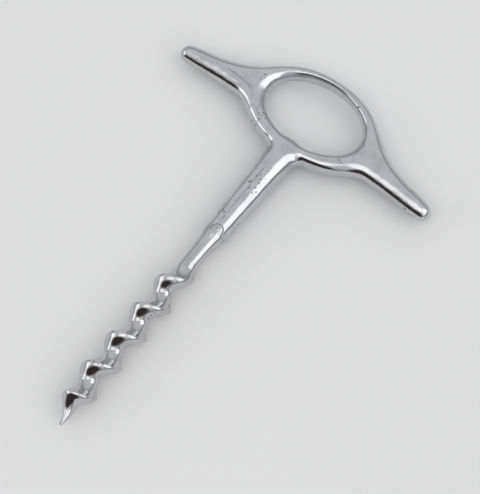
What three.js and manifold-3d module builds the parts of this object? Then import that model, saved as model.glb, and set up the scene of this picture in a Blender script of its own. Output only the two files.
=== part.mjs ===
// Direct-pull corkscrew, in millimetres.
// The worm's axis runs along Y with the ring handle towards +Y, and the corkscrew lies flat, +Z up.
// Heights along the axis are measured from the mouth of the handle's socket.

import * as THREE from 'three';
import { mergeVertices } from 'three/addons/utils/BufferGeometryUtils.js';
import Module from 'manifold-3d';

const wasm = await Module();
wasm.setup();

// Handle outline: an oval ring with a drooping wing on each side.
const ringTop = 57.7;
const handleHeight = 6.6;
const handleEdgeRound = 1.35;
const handleEdgeDrop = 2.4;
const wingEnd = 43.8;
const hole = { centre: 44.8, halfWidth: 15.35, halfHeight: 9.95 };

// Stem: a cone that widens from the mouth to the ring and flattens as it meets it, with a blind socket.
const mouthRadius = 3.5;
const stemTopRadius = 4.95;
const stemTop = 30.6;
const flatStart = 22;
const flatEnd = 33;
const flatShare = 0.24;
const socketRadius = 2.6;
const socketDepth = 24;

// Notch in the mouth, and the key that fills it.
const notchHalfWidth = 1.9;
const notchDepth = 2.5;
const notchTurn = THREE.MathUtils.degToRad(12);
const gap = 0.3;

// Worm: tang, shoulder, shank and blade.
const tangRadius = socketRadius - gap;
const tangTop = 22;
const shankRadius = 2.5;
const coreRadius = 1.8;
const wormRadius = 4.75;
const pitch = 10.3;
const bladeStart = -13.3;
const bladeStartTurn = THREE.MathUtils.degToRad(134);
const tipY = -66.6;
const tipLean = 1.5;
const tipLeanTurn = THREE.MathUtils.degToRad(115);
const sectionSides = 16;
const stepsPerTurn = 20;

const blend = THREE.MathUtils.smoothstep;
const between = THREE.MathUtils.lerp;

// ---- joining and cutting ----

function toSolid(geometry) {
  const bare = geometry.clone();
  bare.deleteAttribute('normal');
  bare.deleteAttribute('uv');
  const merged = mergeVertices(bare, 1e-5);
  return new wasm.Manifold(new wasm.Mesh({
    numProp: 3,
    vertProperties: new Float32Array(merged.attributes.position.array),
    triVerts: new Uint32Array(merged.index.array),
  }));
}

function toGeometry(solid) {
  const mesh = solid.getMesh();
  const geometry = new THREE.BufferGeometry();
  geometry.setAttribute('position', new THREE.BufferAttribute(new Float32Array(mesh.vertProperties), 3));
  geometry.setIndex(new THREE.BufferAttribute(new Uint32Array(mesh.triVerts), 1));
  geometry.computeVertexNormals();
  return geometry;
}

const lathe = (profile, sides) =>
  new THREE.LatheGeometry(profile.map(([r, y]) => new THREE.Vector2(r, y)), sides);

// ---- handle ----

// Right half of the outline, from the ring's top round the wing to the foot of the ring.
function outlineHalf() {
  const corners = [
    [0, ringTop], [11, ringTop], [15, 53.8], [21, 49.3],
    [25.5, 45.95], [30, 44.3], [36.5, 43.3],
    [38.5, 42.95], [39.5, 42.75], [41, 42.4],
    [42.9, 41.9], [wingEnd, 41], [wingEnd, 39.6],
    [wingEnd, 38.1], [42.9, 37], [41, 37],
    [35, 37.1], [29, 37.65], [23.5, 37.65],
    [20.5, 37.65], [18.6, 36.2], [16.5, 34.7],
    [12.5, 31.9], [6.5, 30.4], [0, 30.4],
  ].map(([x, y]) => new THREE.Vector2(x, y));
  const points = [];
  for (let i = 0; i + 3 < corners.length; i += 3) {
    const curve = new THREE.CubicBezierCurve(...corners.slice(i, i + 4));
    const steps = Math.max(3, Math.round(curve.getLength() / 2.4));
    points.push(...curve.getPoints(steps).slice(0, -1));
  }
  points.push(corners.at(-1));
  return points;
}

function handlePlate() {
  const right = outlineHalf();
  const left = right.slice(1, -1).reverse().map((p) => new THREE.Vector2(-p.x, p.y));
  const shape = new THREE.Shape([...right, ...left]);
  const ring = new THREE.Path();
  ring.absellipse(0, hole.centre, hole.halfWidth, hole.halfHeight, 0, 2 * Math.PI);
  shape.holes.push(new THREE.Path(ring.getPoints(40).slice(0, -1)));
  const straight = handleHeight - 2 * handleEdgeDrop;
  const geometry = new THREE.ExtrudeGeometry(shape, {
    depth: straight,
    bevelThickness: handleEdgeDrop,
    bevelSize: handleEdgeRound,
    bevelOffset: -handleEdgeRound,
    bevelSegments: 3,
    steps: 1,
  });
  return toSolid(geometry.translate(0, 0, -straight / 2));
}

// Outside of the stem, closed by a low dome that sinks into the foot of the ring.
function stemOutside() {
  const geometry = lathe([
    [0, 0],
    [mouthRadius, 0],
    [mouthRadius - 0.05, 1.6],
    [between(mouthRadius, stemTopRadius, flatStart / stemTop), flatStart],
    [between(mouthRadius, stemTopRadius, 0.86), 0.86 * stemTop],
    [stemTopRadius, stemTop],
    [stemTopRadius * 0.93, stemTop + 1.6],
    [stemTopRadius * 0.72, stemTop + 3],
    [stemTopRadius * 0.4, stemTop + 3.9],
    [0, stemTop + 4.2],
  ], 32);
  const place = geometry.attributes.position;
  for (let i = 0; i < place.count; i += 1) {
    place.setZ(i, place.getZ(i) * (1 - flatShare * blend(place.getY(i), flatStart, flatEnd)));
  }
  return toSolid(geometry);
}

const socket = () => toSolid(lathe([
  [0, -1],
  [socketRadius, -1],
  [socketRadius, socketDepth],
  [0, socketDepth + 1.2],
], 24));

// A round-topped tongue that stands on the mouth, reaching out through the socket's wall.
function tongue(halfWidth, depth, from, foot) {
  const shape = new THREE.Shape();
  shape.moveTo(-halfWidth, foot);
  shape.lineTo(halfWidth, foot);
  shape.lineTo(halfWidth, depth - halfWidth);
  shape.absarc(0, depth - halfWidth, halfWidth, 0, Math.PI);
  const geometry = new THREE.ExtrudeGeometry(shape, {
    depth: mouthRadius + 1 - from,
    bevelEnabled: false,
    curveSegments: 12,
  });
  return toSolid(geometry.translate(0, 0, from).rotateY(notchTurn));
}

function handleCasting() {
  return toGeometry(
    handlePlate()
      .add(stemOutside())
      .subtract(socket())
      .subtract(tongue(notchHalfWidth, notchDepth, 0.5, -1)),
  );
}

function lockKey() {
  const blank = tongue(notchHalfWidth - gap, notchDepth - gap, socketRadius + 0.05, 0.02);
  return toGeometry(blank.intersect(stemOutside()));
}

// ---- worm ----

// Sections of the tang, shoulder and shank: height and radius, from the top down.
const plainSections = [
  [tangTop, tangRadius - 0.4],
  [tangTop - 0.6, tangRadius],
  [-gap, tangRadius],
  [-gap, 3.2],
  [-1.5, 3.13],
  [-2.9, 2.84],
  [-5.8, 2.65],
  [-9, shankRadius + 0.05],
  [bladeStart + 0.3, shankRadius],
].map(([y, radius]) => ({ y, core: radius, reach: radius, turn: bladeStartTurn, lean: 0 }));

// A section of the bladed length: a round core with one ridge, which turns as it goes down.
function bladeSection(y) {
  const core = between(coreRadius, shankRadius, blend(y, bladeStart - 6, bladeStart));
  const full = between(wormRadius, wormRadius - 0.3, blend(y, bladeStart - 8, bladeStart));
  const grown = between(full, core, blend(y, bladeStart - 1, bladeStart));
  const taper = blend(y, tipY, tipY + 9.5);
  const thin = blend(y, tipY, tipY + 6.5);
  return {
    y,
    core: between(0.28, core, thin),
    reach: between(0.3, grown, taper),
    turn: bladeStartTurn + 2 * Math.PI * (y - bladeStart) / pitch,
    lean: tipLean * (1 - blend(y, tipY, tipY + 8)),
  };
}

function ringPoint(section, side) {
  const away = 2 * side / sectionSides - 1;
  const radius = between(section.core, section.reach, (1 - Math.abs(away)) ** 2);
  const angle = section.turn + away * Math.PI;
  return [
    radius * Math.sin(angle) + section.lean * Math.sin(tipLeanTurn),
    section.y,
    radius * Math.cos(angle) + section.lean * Math.cos(tipLeanTurn),
  ];
}

function worm() {
  const steps = Math.round((bladeStart - tipY) / pitch * stepsPerTurn);
  const sections = [...plainSections];
  for (let i = 0; i <= steps; i += 1) {
    sections.push(bladeSection(between(bladeStart, tipY + 0.15, i / steps)));
  }
  const sides = [...Array(sectionSides).keys()];
  const points = sections.flatMap((section) => sides.map((side) => ringPoint(section, side)));
  const top = points.push([0, tangTop, 0]) - 1;
  const last = sections.at(-1);
  const tip = points.push([
    last.lean * Math.sin(tipLeanTurn), tipY, last.lean * Math.cos(tipLeanTurn),
  ]) - 1;
  const faces = [];
  for (const side of sides) {
    const next = (side + 1) % sectionSides;
    faces.push(top, side, next);
    for (let row = 0; row + 1 < sections.length; row += 1) {
      const above = row * sectionSides;
      const below = above + sectionSides;
      faces.push(above + side, below + side, below + next);
      faces.push(above + side, below + next, above + next);
    }
    const foot = (sections.length - 1) * sectionSides;
    faces.push(tip, foot + next, foot + side);
  }
  const geometry = new THREE.BufferGeometry();
  geometry.setAttribute('position', new THREE.Float32BufferAttribute(points.flat(), 3));
  geometry.setIndex(faces);
  geometry.computeVertexNormals();
  return geometry;
}

// ---- assembly ----

const pieces = [
  ['handle_casting', handleCasting(), { color: 0xb4b6bb, roughness: 0.16, metalness: 1 }],
  ['lock_key', lockKey(), { color: 0xa6a8ad, roughness: 0.3, metalness: 1 }],
  ['worm', worm(), { color: 0xaaabae, roughness: 0.14, metalness: 1 }],
];

const corkscrew = new THREE.Group();
for (const [name, geometry, finish] of pieces) {
  const mesh = new THREE.Mesh(geometry, new THREE.MeshStandardMaterial(finish));
  mesh.name = name;
  corkscrew.add(mesh);
}

// The whole lies with its lowest point on z = 0 and its length centred on y = 0.
const box = new THREE.Box3().setFromObject(corkscrew);
corkscrew.position.set(0, -(box.min.y + box.max.y) / 2, -box.min.z);

export default corkscrew;
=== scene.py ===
"""Direct-pull corkscrew: the plated handle casting, its key and the bladed worm, built as fine meshes."""

import math

import bpy
import numpy as np
from mathutils import Matrix, Vector
from mathutils.kdtree import KDTree


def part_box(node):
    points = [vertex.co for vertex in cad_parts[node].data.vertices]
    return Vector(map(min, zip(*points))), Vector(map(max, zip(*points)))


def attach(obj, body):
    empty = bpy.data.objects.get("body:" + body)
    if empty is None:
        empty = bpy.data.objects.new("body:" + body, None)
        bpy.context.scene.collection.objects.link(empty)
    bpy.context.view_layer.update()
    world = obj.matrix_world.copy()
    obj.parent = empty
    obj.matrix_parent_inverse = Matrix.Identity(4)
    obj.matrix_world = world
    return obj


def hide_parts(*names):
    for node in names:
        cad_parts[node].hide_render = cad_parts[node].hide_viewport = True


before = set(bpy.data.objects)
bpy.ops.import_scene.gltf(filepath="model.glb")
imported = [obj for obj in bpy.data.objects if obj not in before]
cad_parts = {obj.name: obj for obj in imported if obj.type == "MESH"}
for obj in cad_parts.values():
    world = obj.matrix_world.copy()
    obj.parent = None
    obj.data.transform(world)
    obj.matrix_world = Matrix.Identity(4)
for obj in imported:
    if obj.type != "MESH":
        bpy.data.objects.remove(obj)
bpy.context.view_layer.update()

# Shapes are worked out in millimetres in the stem's frame: the worm's axis is y, the mouth is y = 0.
MM = 0.001
handle_low, handle_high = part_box("handle_casting")
worm_low, worm_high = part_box("worm")
stem_origin = Vector((0.0, handle_low.y, (handle_low.z + handle_high.z) / 2))

ring_top = (handle_high.y - handle_low.y) / MM
wing_end = handle_high.x / MM
tip_y = (worm_low.y - handle_low.y) / MM
tang_top = (worm_high.y - handle_low.y) / MM
worm_radius = (stem_origin.z - worm_low.z) / MM


# ---- small helpers ----

def smooth(value, start, end):
    """0 at start, 1 at end, with a soft run between them."""
    t = np.clip((value - start) / (end - start), 0.0, 1.0)
    return t * t * (3.0 - 2.0 * t)


def mix(a, b, t):
    return a + (b - a) * t


def soft_max(a, b, reach):
    """The larger of two values, with a fillet where they are within reach of each other."""
    near = np.maximum(reach - np.abs(a - b), 0.0) / reach
    return np.maximum(a, b) + near * near * reach / 4


def soft_min(a, b, reach):
    return -soft_max(-a, -b, reach)


def make_object(name, vertices, faces, normals=None):
    """A smooth-shaded object from vertices in the stem's frame, in millimetres."""
    mesh = bpy.data.meshes.new(name)
    placed = vertices * MM + np.array(stem_origin)
    mesh.from_pydata(placed.tolist(), [], faces.tolist())
    mesh.shade_smooth()
    if normals is not None:
        mesh.normals_split_custom_set_from_vertices(normals.tolist())
    mesh.validate()
    made = bpy.data.objects.new(name, mesh)
    bpy.context.scene.collection.objects.link(made)
    return made


# ---- surfaces from a field that is positive inside the metal ----

def gradient(field, points, step=0.004):
    """The field's slope along x, y and z, from values a step to either side."""
    slopes = []
    for axis in range(3):
        offset = np.zeros(3)
        offset[axis] = step
        slopes.append((field(points + offset) - field(points - offset)) / (2 * step))
    return np.stack(slopes, 1)


def settle(field, points, rounds=3, reach=0.25):
    """Moves points along the field's slope until they lie on its zero surface."""
    least_steepness = 0.02
    for _ in range(rounds):
        slope = gradient(field, points)
        steepness = np.maximum((slope * slope).sum(1), least_steepness)
        move = -field(points)[:, None] * slope / steepness[:, None]
        length = np.maximum(np.linalg.norm(move, axis=1), 1e-9)
        points = points + move * np.minimum(1.0, reach / length)[:, None]
    return points


def net_surface(field, axes):
    """Quads over the zero surface: one vertex in each grid cell that the surface crosses."""
    grid = np.stack(np.meshgrid(*axes, indexing="ij"), -1)
    value = field(grid.reshape(-1, 3)).reshape(grid.shape[:3])
    inside = value > 0
    cells = tuple(n - 1 for n in inside.shape)
    total = np.zeros((math.prod(cells), 3))
    count = np.zeros(math.prod(cells))
    quads = []
    for axis in range(3):
        low = [slice(None)] * 3
        high = [slice(None)] * 3
        low[axis] = slice(0, -1)
        high[axis] = slice(1, None)
        low, high = tuple(low), tuple(high)
        crossing = inside[low] != inside[high]
        share = (value[low][crossing] / (value[low][crossing] - value[high][crossing]))[:, None]
        point = mix(grid[low][crossing], grid[high][crossing], share)
        corner = np.argwhere(crossing)
        one, two = (axis + 1) % 3, (axis + 2) % 3
        loop = []
        for back_one, back_two in ((0, 0), (1, 0), (1, 1), (0, 1)):
            cell = corner.copy()
            cell[:, one] -= back_one
            cell[:, two] -= back_two
            flat = np.ravel_multi_index(tuple(cell.T), cells)
            np.add.at(total, flat, point)
            np.add.at(count, flat, 1)
            loop.append(flat)
        quad = np.stack(loop, 1)
        leaving = inside[low][crossing]
        quads.append(np.where(leaving[:, None], quad, quad[:, ::-1]))
    quads = np.concatenate(quads)
    used = np.flatnonzero(count)
    number = np.full(len(count), -1)
    number[used] = np.arange(len(used))
    return total[used] / count[used][:, None], number[quads]


def relax(points, quads):
    """Half a step of each point towards the middle of its neighbours."""
    total = np.zeros_like(points)
    count = np.zeros(len(points))
    for side in range(4):
        a, b = quads[:, side], quads[:, (side + 1) % 4]
        for here, there in ((a, b), (b, a)):
            np.add.at(total, here, points[there])
            np.add.at(count, here, 1)
    return (points + total / count[:, None]) / 2


def surface_object(name, field, axes):
    """The field's zero surface as an object, evened out and shaded by the field's own slope."""
    points, quads = net_surface(field, axes)
    for _ in range(2):
        points = settle(field, relax(points, quads), rounds=2)
    points = settle(field, points)
    slope = gradient(field, points)
    normals = -slope / np.linalg.norm(slope, axis=1)[:, None]
    return make_object(name, points, quads, normals)


# ---- edges of the handle, seen square on ----

SAMPLE_STEP = 0.1
# keeps the distance steady close to the middle of a tight bend
LEAST_NEARNESS = 0.3
hole_centre = 44.8
hole_half = (15.35, 9.95)


class Boundary:
    """Distance from points of a plane to a smooth closed curve, positive on the metal's side."""

    def __init__(self, place, tangent, bend):
        self.place = place
        self.tangent = tangent
        self.bend = bend
        self.tree = KDTree(len(place))
        for index, (x, y) in enumerate(place):
            self.tree.insert((x, y, 0.0), index)
        self.tree.balance()

    def distance(self, points):
        """The nearest sample's direction and bend give the distance between samples too."""
        key, back = np.unique(np.round(points, 3), axis=0, return_inverse=True)
        nearest = np.array([self.tree.find((x, y, 0.0))[1] for x, y in key])[back.ravel()]
        away = points - self.place[nearest]
        tangent = self.tangent[nearest]
        along = (away * tangent).sum(1)
        inward = away[:, 1] * tangent[:, 0] - away[:, 0] * tangent[:, 1]
        bend = self.bend[nearest]
        nearness = np.maximum(1 - bend * inward, LEAST_NEARNESS)
        return inward - bend * along ** 2 / (2 * nearness)


def bezier_run(corners):
    """Places, directions and bends along a chain of cubic curves that share their ends."""
    place, tangent, bend = [], [], []
    for start in range(0, len(corners) - 1, 3):
        p = np.array(corners[start:start + 4], float)
        count = int(np.linalg.norm(np.diff(p, axis=0), axis=1).sum() / SAMPLE_STEP)
        t = (np.arange(count) / count)[:, None]
        spot = ((1 - t) ** 3 * p[0] + 3 * t * (1 - t) ** 2 * p[1]
                + 3 * t ** 2 * (1 - t) * p[2] + t ** 3 * p[3])
        speed = 3 * ((1 - t) ** 2 * (p[1] - p[0]) + 2 * t * (1 - t) * (p[2] - p[1])
                     + t ** 2 * (p[3] - p[2]))
        change = 6 * ((1 - t) * (p[2] - 2 * p[1] + p[0]) + t * (p[3] - 2 * p[2] + p[1]))
        pace = np.linalg.norm(speed, axis=1)
        place.append(spot)
        tangent.append(speed / pace[:, None])
        bend.append((speed[:, 0] * change[:, 1] - speed[:, 1] * change[:, 0]) / pace ** 3)
    return np.concatenate(place), np.concatenate(tangent), np.concatenate(bend)


def mirrored(corners):
    return [(-x, y) for x, y in reversed(corners)]


# Half of the handle's outer edge, from under the stem round the wing to the ring's top. It runs
# anticlockwise, so that the metal is on its left.
half_edge = [
    (0, 30.4), (6.5, 30.4), (12.5, 31.9), (16.5, 34.7),
    (18.6, 36.2), (20.5, 37.65), (23.5, 37.65),
    (29, 37.65), (35, 37.1), (41, 37),
    (42.9, 37), (wing_end, 38.1), (wing_end, 39.6),
    (wing_end, 41), (42.9, 41.9), (41, 42.4),
    (39.5, 42.75), (38.5, 42.95), (36.5, 43.3),
    (30, 44.3), (25.5, 45.95), (21, 49.3),
    (15, 53.8), (11, ring_top), (0, ring_top),
]


def hole_boundary():
    """The hole's edge, run clockwise so that the metal is on its left."""
    a, b = hole_half
    count = int(2 * math.pi * max(hole_half) / SAMPLE_STEP)
    turn = -2 * math.pi * np.arange(count) / count
    place = np.stack([a * np.cos(turn), hole_centre + b * np.sin(turn)], 1)
    speed = np.stack([a * np.sin(turn), -b * np.cos(turn)], 1)
    pace = np.linalg.norm(speed, axis=1)
    return Boundary(place, speed / pace[:, None], -a * b / pace ** 3)


outline = Boundary(*bezier_run(half_edge + mirrored(half_edge)[1:]))
hole = hole_boundary()


# ---- handle casting ----

# The section of ring and wings: how far the rounding runs in from each edge, and half the
# thickness, at the ring's sides, at its top, at its foot by the stem and on the wings.
outer_rounding = {"side": 3.65, "top": 2.1, "foot": 2.4, "wing": 4.05}
hole_rounding = {"side": 4.55, "top": 1.4, "foot": 2.2}
half_thickness = {"side": 3.4, "top": 2.7}
wing_thinning = 0.2
plate_depth = 2.5

mouth_radius = 3.5
stem_top_radius = 4.95
stem_top = 30.6
stem_end = 6.2
stem_end_lead = 1.5
rim_height = 0.05
stem_flattening = 0.24
ring_fillet = 2.4

socket_radius = 2.6
socket_depth = 24.0
notch_half_width = 1.9
notch_depth = 2.5
notch_turn = math.radians(12)
notch_floor = 0.8

unevenness = 0.012
mouth_edge = 0.05
socket_edge = 0.15
notch_edge = 0.2


def undulation(points, size):
    """A slow unevenness of a hand-finished casting."""
    x, y, z = points.T
    return size * (
        np.sin(0.61 * x + 0.9) * np.sin(0.47 * y - 0.4)
        + 0.6 * np.sin(1.13 * y + 0.7 * x + 2.1) * np.cos(0.83 * z + 0.3 * x)
        + 0.35 * np.sin(1.9 * x - 1.3 * y + 0.5)
    )


def plate_field(points):
    """Ring and wings: a crowned section, rounded over to the outer edge and to the hole."""
    x, y, z = points.T
    across = np.abs(x)
    outer = outline.distance(points[:, :2])
    inner = hole.distance(points[:, :2])
    top = smooth(y, 44.0, 55.0)
    foot = smooth(across, 19.0, 11.0) * smooth(y, 43.0, 37.0)
    wing = smooth(across, 17.0, 30.0)
    outer_round = mix(outer_rounding["side"], outer_rounding["top"], top)
    outer_round = mix(mix(outer_round, outer_rounding["foot"], foot), outer_rounding["wing"], wing)
    inner_round = mix(hole_rounding["side"], hole_rounding["top"], top)
    inner_round = mix(inner_round, hole_rounding["foot"], foot)
    half_height = mix(half_thickness["side"], half_thickness["top"], top)
    half_height = half_height - wing_thinning * smooth(across, 28.0, wing_end)
    outer_part = np.maximum(1 - outer / outer_round, 0.0) ** 2
    inner_part = np.maximum(1 - inner / inner_round, 0.0) ** 2
    return plate_depth * (1 - np.sqrt(outer_part + inner_part + (z / half_height) ** 2))


def stem_outside(points):
    """The tapered stem: a faint rim at the mouth, flatter by the ring, with a long low end."""
    x, y, z = points.T
    radius = mix(mouth_radius, stem_top_radius, y / stem_top) - rim_height * smooth(y, 0.4, 2.4)
    radius = np.minimum(radius, stem_top_radius)
    flat = 1 - stem_flattening * smooth(y, 22.0, 33.0)
    past = np.maximum(y - stem_top + stem_end_lead, 0.0) * stem_top_radius / stem_end
    return radius - np.sqrt(x * x + (z / flat) ** 2 + past * past)


def notch_space(points, half_width, depth):
    """Distance outside the round-topped notch: negative in it."""
    x, y, z = points.T
    side = x * math.cos(notch_turn) - z * math.sin(notch_turn)
    outward = x * math.sin(notch_turn) + z * math.cos(notch_turn)
    above = np.maximum(y - (depth - half_width), 0.0)
    return np.maximum(np.hypot(side, above) - half_width, notch_floor - outward)


def handle_field(points):
    """Plate and stem joined by a fillet, cut off at the mouth and cut out by socket and notch."""
    x, y, z = points.T
    radial = np.hypot(x, z)
    body = soft_max(plate_field(points), stem_outside(points), ring_fillet)
    body = body + undulation(points, unevenness)
    body = soft_min(body, y, mouth_edge)
    body = soft_min(body, np.maximum(radial - socket_radius, y - socket_depth), socket_edge)
    return soft_min(body, notch_space(points, notch_half_width, notch_depth), notch_edge)


def graded(low, high, fine_low, fine_high, fine, coarse):
    """Grid lines from low to high, closer together between fine_low and fine_high."""
    growth = 1.15
    lines = [fine_low]
    while lines[-1] < fine_high:
        lines.append(lines[-1] + fine)
    step = fine
    while lines[-1] < high:
        step = min(step * growth, coarse)
        lines.append(lines[-1] + step)
    step = fine
    while lines[0] > low:
        step = min(step * growth, coarse)
        lines.insert(0, lines[0] - step)
    return np.array(lines)


def build_handle():
    """The grid is finer round the stem's axis and at the mouth and notch."""
    coarse = 0.4
    fine = coarse * 0.45
    margin = 1.0
    near_axis = 4.2
    grid_start = -0.8
    past_notch = 3.2
    half_depth = stem_top_radius + 0.8
    nearly_all = 5.6
    across = graded(-wing_end - margin, wing_end + margin, -near_axis, near_axis, fine, coarse)
    along = graded(grid_start, ring_top + margin, grid_start, past_notch, fine, coarse)
    deep = graded(-half_depth, half_depth, -nearly_all, nearly_all, coarse * 0.75, coarse)
    return surface_object("cast_handle", handle_field, (across, along, deep))


# ---- key in the notch ----

key_gap = 0.07
key_setback = 0.03
key_socket_setback = 0.06
key_mouth_setback = 0.02
key_roughness = 0.03
key_face_edge = 0.3
key_side_edge = 0.25
key_mouth_edge = 0.04


def key_field(points):
    """What the notch leaves between socket and stem's surface, a little smaller and rougher."""
    x, y, z = points.T
    radial = np.hypot(x, z)
    outside = stem_outside(points) - key_setback
    rough = key_roughness * np.sin(5.1 * x + 1.0) * np.sin(4.3 * y + 0.6)
    rough = rough + key_roughness / 2 * np.sin(9.0 * y - 6.0 * x)
    body = soft_min(outside + rough, radial - socket_radius - key_socket_setback, key_face_edge)
    filled = -notch_space(points, notch_half_width - key_gap, notch_depth - key_gap)
    body = soft_min(body, filled, key_side_edge)
    return soft_min(body, y + key_mouth_setback, key_mouth_edge)


def build_key():
    """The grid is a box that holds the notch."""
    step = 0.09
    return surface_object("notch_key", key_field, (
        np.arange(-2.2, 3.2, step), np.arange(-0.4, 3.0, step), np.arange(1.6, 4.4, step),
    ))


# ---- worm ----

tang_radius = 2.3
shank_radius = 2.5
core_radius = 1.8
tip_core = 0.46
tip_reach = 0.5
tip_lean = 1.5
tip_round = 0.25
pitch = 10.3
blade_start = -13.3
blade_start_turn = math.radians(134)
lean_turn = math.radians(115)
crest_round = 0.03
start_round = 0.16
start_thinning = 0.3
shank_swell = 0.08

# Tang, shoulder at the mouth and shank: height and radius.
plain_rows = [
    (tang_top, 0.0), (tang_top, 1.2), (tang_top, 1.75), (tang_top - 0.15, 2.05), (tang_top - 0.5, 2.25),
    (tang_top - 1.0, tang_radius), (8.0, tang_radius), (0.6, tang_radius),
    (0.12, tang_radius), (0.1, 2.4), (0.09, 2.9), (0.08, 3.3), (0.03, 3.42), (-0.1, 3.45),
    (-0.3, 3.43), (-0.7, 3.35), (-1.1, 3.26), (-1.5, 3.16), (-2.0, 3.04), (-2.9, 2.87), (-4.2, 2.73),
    (-5.8, 2.64), (-7.2, 2.59),
]


def worm_rows():
    """Sections from the tang's top to the point: height, core, reach, turn and lean to the side."""
    plain = np.array(plain_rows)
    step = 0.11
    top = blade_start + pitch / 2
    heights = np.linspace(top, tip_y + tip_round, int((top - tip_y) / step))
    core = mix(core_radius, shank_radius, smooth(heights, blade_start - 6, blade_start + 1))
    core = core + shank_swell * smooth(heights, top - 2, top)
    core = mix(tip_core, core, smooth(heights, tip_y, tip_y + 6.5))
    reach = mix(worm_radius, worm_radius - start_thinning, smooth(heights, blade_start - 8, blade_start))
    reach = mix(tip_reach, reach, smooth(heights, tip_y, tip_y + 9.5))
    turn = blade_start_turn + 2 * math.pi * (heights - blade_start) / pitch
    lean = tip_lean * (1 - smooth(heights, tip_y, tip_y + 8))
    bladed = np.stack([heights, core, reach, turn, lean], 1)
    fixed = np.stack([
        plain[:, 0], plain[:, 1], plain[:, 1],
        np.full(len(plain), turn[0]), np.zeros(len(plain)),
    ], 1)
    rounding = []
    for drop, share in ((0.4, 0.92), (0.72, 0.72), (0.92, 0.4), (1.0, 0.0)):
        row = bladed[-1].copy()
        row[0] -= drop * tip_round
        row[1:3] *= share
        rounding.append(row)
    return np.concatenate([fixed, bladed, rounding])


def build_worm():
    """Rings of points down the worm: away is 0 on the crest and -1 or 1 half a pitch from it."""
    rows = worm_rows()
    sides = 108
    spread = np.linspace(-1, 1, sides + 1)[:-1]
    away = (np.sign(spread) * np.abs(spread) ** 1.5)[None, :]
    height = np.repeat(rows[:, 0:1], sides, axis=1)
    # how far down the helix from the blade's blunt start each point lies
    along = blade_start - (height + away * pitch / 2)
    blunt = mix(start_round, crest_round, smooth(along, 0.0, 3.0))
    # the flank towards the handle is hollow, and the one towards the point is rounded
    hollow_flank = np.maximum(1 - np.sqrt(away ** 2 + blunt ** 2), 0.0) ** 2
    rounded_flank = (1 - blunt) ** 2 * (1 - smooth(away, 0.0, 1.0))
    ridge = np.where(away > 0, rounded_flank, hollow_flank) / (1 - crest_round) ** 2
    ridge = ridge * smooth(along, -0.05, 0.5)
    radius = rows[:, 1:2] + (rows[:, 2:3] - rows[:, 1:2]) * ridge
    angle = rows[:, 3:4] + away * math.pi
    lean = rows[:, 4:5]
    points = np.stack([
        radius * np.sin(angle) + lean * math.sin(lean_turn),
        height,
        radius * np.cos(angle) + lean * math.cos(lean_turn),
    ], -1).reshape(-1, 3)
    row_start = np.arange(len(rows) - 1)[:, None] * sides
    here = row_start + np.arange(sides)[None, :]
    beside = row_start + (np.arange(sides)[None, :] + 1) % sides
    quads = np.stack([here, here + sides, beside + sides, beside], -1).reshape(-1, 4)
    return make_object("bladed_worm", points, quads)


# ---- materials ----

pit_colour = (0.16, 0.15, 0.145, 1)
bump_strength = 0.12
bump_height = 0.0001


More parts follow.
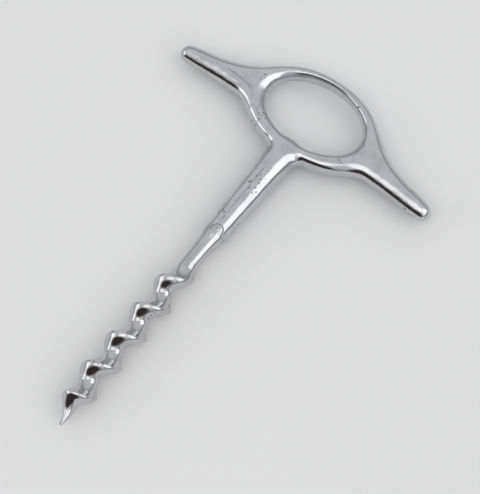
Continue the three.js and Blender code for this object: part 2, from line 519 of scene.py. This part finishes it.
def plated_metal(name, colour, roughness, wear, pits):
    """Bright plating with fine scratches, a cloudy polish and small pits."""
    material = bpy.data.materials.new(name)
    material.use_nodes = True
    nodes, links = material.node_tree.nodes, material.node_tree.links
    shader = nodes["Principled BSDF"]
    shader.inputs["Metallic"].default_value = 1.0
    place = nodes.new("ShaderNodeTexCoord")

    def noise(scale, detail, stretch=(1, 1, 1)):
        mapping = nodes.new("ShaderNodeMapping")
        mapping.inputs["Scale"].default_value = stretch
        links.new(place.outputs["Object"], mapping.inputs["Vector"])
        texture = nodes.new("ShaderNodeTexNoise")
        texture.inputs["Scale"].default_value = scale
        texture.inputs["Detail"].default_value = detail
        links.new(mapping.outputs["Vector"], texture.inputs["Vector"])
        return texture.outputs["Fac"]

    def ranged(source, low, high, to_low, to_high):
        node = nodes.new("ShaderNodeMapRange")
        node.interpolation_type = "SMOOTHSTEP"
        limits = {"From Min": low, "From Max": high, "To Min": to_low, "To Max": to_high}
        for socket, value in limits.items():
            node.inputs[socket].default_value = value
        links.new(source, node.inputs["Value"])
        return node.outputs["Result"]

    def combine(kind, a, b):
        node = nodes.new("ShaderNodeMath")
        node.operation = kind
        links.new(a, node.inputs[0])
        links.new(b, node.inputs[1])
        return node.outputs[0]

    cloud = ranged(noise(260, 4), 0.35, 0.75, 0.0, 1.0)
    haze = ranged(noise(420, 5), 0.3, 0.75, roughness * 0.7, roughness * 1.5)
    scratches = ranged(noise(700, 2, (1.0, 0.06, 1.0)), 0.3, 0.7, 0.0, 0.35)
    ripple = ranged(noise(330, 3), 0.2, 0.8, 0.0, 1.0)

    # pits: small round specks, only where a slower noise is high
    specks = nodes.new("ShaderNodeTexVoronoi")
    specks.inputs["Scale"].default_value = 900
    links.new(place.outputs["Object"], specks.inputs["Vector"])
    pitted = ranged(noise(150, 3), 0.54, 0.68, 0.0, 1.0)
    spot = combine("MULTIPLY", ranged(specks.outputs["Distance"], 0.34, 0.16, 0.0, 1.0), pitted)

    shade = nodes.new("ShaderNodeMix")
    shade.data_type = "RGBA"
    shade.inputs["A"].default_value = (*colour, 1)
    shade.inputs["B"].default_value = (*(c * wear for c in colour), 1)
    links.new(cloud, shade.inputs["Factor"])
    dull = nodes.new("ShaderNodeMix")
    dull.data_type = "RGBA"
    dull.inputs["B"].default_value = pit_colour
    links.new(spot, dull.inputs["Factor"])
    links.new(shade.outputs["Result"], dull.inputs["A"])
    links.new(dull.outputs["Result"], shader.inputs["Base Color"])

    rough = combine("ADD", haze, ranged(spot, 0.0, 1.0, 0.0, 0.3))
    links.new(rough, shader.inputs["Roughness"])

    height = combine("ADD", scratches, ripple)
    height = combine("SUBTRACT", height, ranged(spot, 0.0, 1.0, 0.0, pits))
    bump = nodes.new("ShaderNodeBump")
    bump.inputs["Strength"].default_value = bump_strength
    bump.inputs["Distance"].default_value = bump_height
    links.new(height, bump.inputs["Height"])
    links.new(bump.outputs["Normal"], shader.inputs["Normal"])
    return material


def floor_material():
    """Matt pale paper with a very faint mottling."""
    material = bpy.data.materials.new("pale_paper")
    material.use_nodes = True
    nodes, links = material.node_tree.nodes, material.node_tree.links
    shader = nodes["Principled BSDF"]
    shader.inputs["Roughness"].default_value = 0.7
    texture = nodes.new("ShaderNodeTexNoise")
    texture.inputs["Scale"].default_value = 40
    ramp = nodes.new("ShaderNodeValToRGB")
    for stop, grey in zip(ramp.color_ramp.elements, (0.78, 0.81)):
        stop.color = (grey, grey, grey, 1)
    links.new(texture.outputs["Fac"], ramp.inputs["Fac"])
    links.new(ramp.outputs["Color"], shader.inputs["Base Color"])
    return material


# ---- object ----

pieces = (
    (build_handle, "handle_casting", "plated_casting",
     plated_metal("chrome_casting", (0.62, 0.63, 0.655), 0.10, 0.86, 0.9)),
    (build_key, "lock_key", "plated_key",
     plated_metal("chrome_key", (0.56, 0.57, 0.59), 0.2, 0.8, 1.0)),
    (build_worm, "worm", "plated_steel",
     plated_metal("chrome_steel", (0.6, 0.6, 0.61), 0.09, 0.86, 0.9)),
)
for build, node, slot, material in pieces:
    piece = build()
    piece.data.materials.append(material)
    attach(piece, "root")
    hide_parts(node)


# ---- floor, light and camera ----

def make_floor():
    half = 3.0
    corners = [(-half, -half, 0), (half, -half, 0), (half, half, 0), (-half, half, 0)]
    mesh = bpy.data.meshes.new("floor")
    mesh.from_pydata(corners, [], [(0, 1, 2, 3)])
    floor = bpy.data.objects.new("floor", mesh)
    bpy.context.scene.collection.objects.link(floor)
    mesh.materials.append(floor_material())


def direction(azimuth, elevation):
    """Unit vector towards a place seen at that azimuth from +Y towards +X, and that elevation."""
    a, e = math.radians(azimuth), math.radians(elevation)
    return Vector((math.sin(a) * math.cos(e), math.cos(a) * math.cos(e), math.sin(e)))


def make_world():
    """An even pale room that darkens towards the floor, with soft-edged bright and dark places."""
    world = bpy.data.worlds.new("studio")
    world.use_nodes = True
    bpy.context.scene.world = world
    nodes, links = world.node_tree.nodes, world.node_tree.links
    place = nodes.new("ShaderNodeTexCoord")

    def share_along(axis):
        """How far the direction of a point of the sky goes along an axis."""
        dot = nodes.new("ShaderNodeVectorMath")
        dot.operation = "DOT_PRODUCT"
        dot.inputs[1].default_value = axis
        links.new(place.outputs["Generated"], dot.inputs[0])
        return dot.outputs["Value"]

    def soft_step(value, low, high):
        """0 at low, 1 at high, with a soft run between them."""
        soft = nodes.new("ShaderNodeMapRange")
        soft.interpolation_type = "SMOOTHSTEP"
        soft.inputs["From Min"].default_value = low
        soft.inputs["From Max"].default_value = high
        links.new(value, soft.inputs["Value"])
        return soft.outputs["Result"]

    def math_node(kind, a, b=None):
        node = nodes.new("ShaderNodeMath")
        node.operation = kind
        links.new(a, node.inputs[0])
        if b is not None:
            links.new(b, node.inputs[1])
        return node.outputs[0]

    def disc(azimuth, elevation, inner, outer):
        """1 within the inner angle of a direction, 0 beyond the outer angle."""
        toward = share_along(direction(azimuth, elevation))
        return soft_step(toward, math.cos(math.radians(outer)), math.cos(math.radians(inner)))

    def window(azimuth, elevation, half_width, half_height, edge):
        """1 in a rectangle of the sky with a soft edge; the sizes are angles."""
        mask = soft_step(share_along(direction(azimuth, elevation)), 0.0, 0.2)
        sides = (
            (direction(azimuth + 90, 0), half_width),
            (direction(azimuth, elevation + 90), half_height),
        )
        for axis, half in sides:
            off = math_node("ABSOLUTE", share_along(axis))
            inner = math.sin(math.radians(half - edge))
            outer = math.sin(math.radians(half + edge))
            mask = math_node("MULTIPLY", mask, soft_step(off, outer, inner))
        return mask

    room = (0.72, 0.725, 0.735)
    daylight = (1.6, 1.6, 1.6)
    near_floor = soft_step(share_along((0, 0, 1)), 0.55, 0.02)
    ceiling_fitting = disc(301, 65, 1, 6)
    ceiling_light = disc(178, 58, 9, 27)
    sill = window(84, 14, 34, 6, 6)
    dark_furniture = disc(180, 8, 23, 37)
    big_window = window(84, 42, 31, 23, 6)
    small_window = window(230, 20, 17, 10, 4)
    layers = (
        (near_floor, (0.36, 0.365, 0.38)),
        (ceiling_fitting, (0.42, 0.42, 0.44)),
        (ceiling_light, (1.5, 1.5, 1.5)),
        (sill, (0.26, 0.26, 0.28)),
        (dark_furniture, (0.05, 0.035, 0.03)),
        (big_window, daylight),
        (small_window, daylight),
    )
    colour = None
    for factor, shade in layers:
        blend = nodes.new("ShaderNodeMix")
        blend.data_type = "RGBA"
        blend.inputs["A"].default_value = (*room, 1)
        if colour is not None:
            links.new(colour, blend.inputs["A"])
        blend.inputs["B"].default_value = (*shade, 1)
        links.new(factor, blend.inputs["Factor"])
        colour = blend.outputs["Result"]
    links.new(colour, nodes["Background"].inputs["Color"])


def make_camera():
    """The camera looks down across the worm from the point's side, slightly rolled."""
    azimuth, elevation = 131.8, 67.4
    roll = math.radians(-10.3)
    distance = 0.4377
    aim = stem_origin + Vector((7.9, 1.5, 0.0)) * MM
    back = direction(azimuth, elevation)
    level_right = direction(azimuth - 90, 0)
    level_up = back.cross(level_right)
    right = level_right * math.cos(roll) + level_up * math.sin(roll)
    up = back.cross(right)
    data = bpy.data.cameras.new("camera")
    data.lens = 116.7
    data.sensor_width = 36.0
    data.clip_start = 0.01
    camera = bpy.data.objects.new("camera", data)
    turn = Matrix((right, up, back)).transposed().to_4x4()
    camera.matrix_world = Matrix.Translation(aim + back * distance) @ turn
    bpy.context.scene.collection.objects.link(camera)
    bpy.context.scene.camera = camera


make_floor()
make_world()
make_camera()
bpy.context.scene.view_settings.view_transform = "Standard"
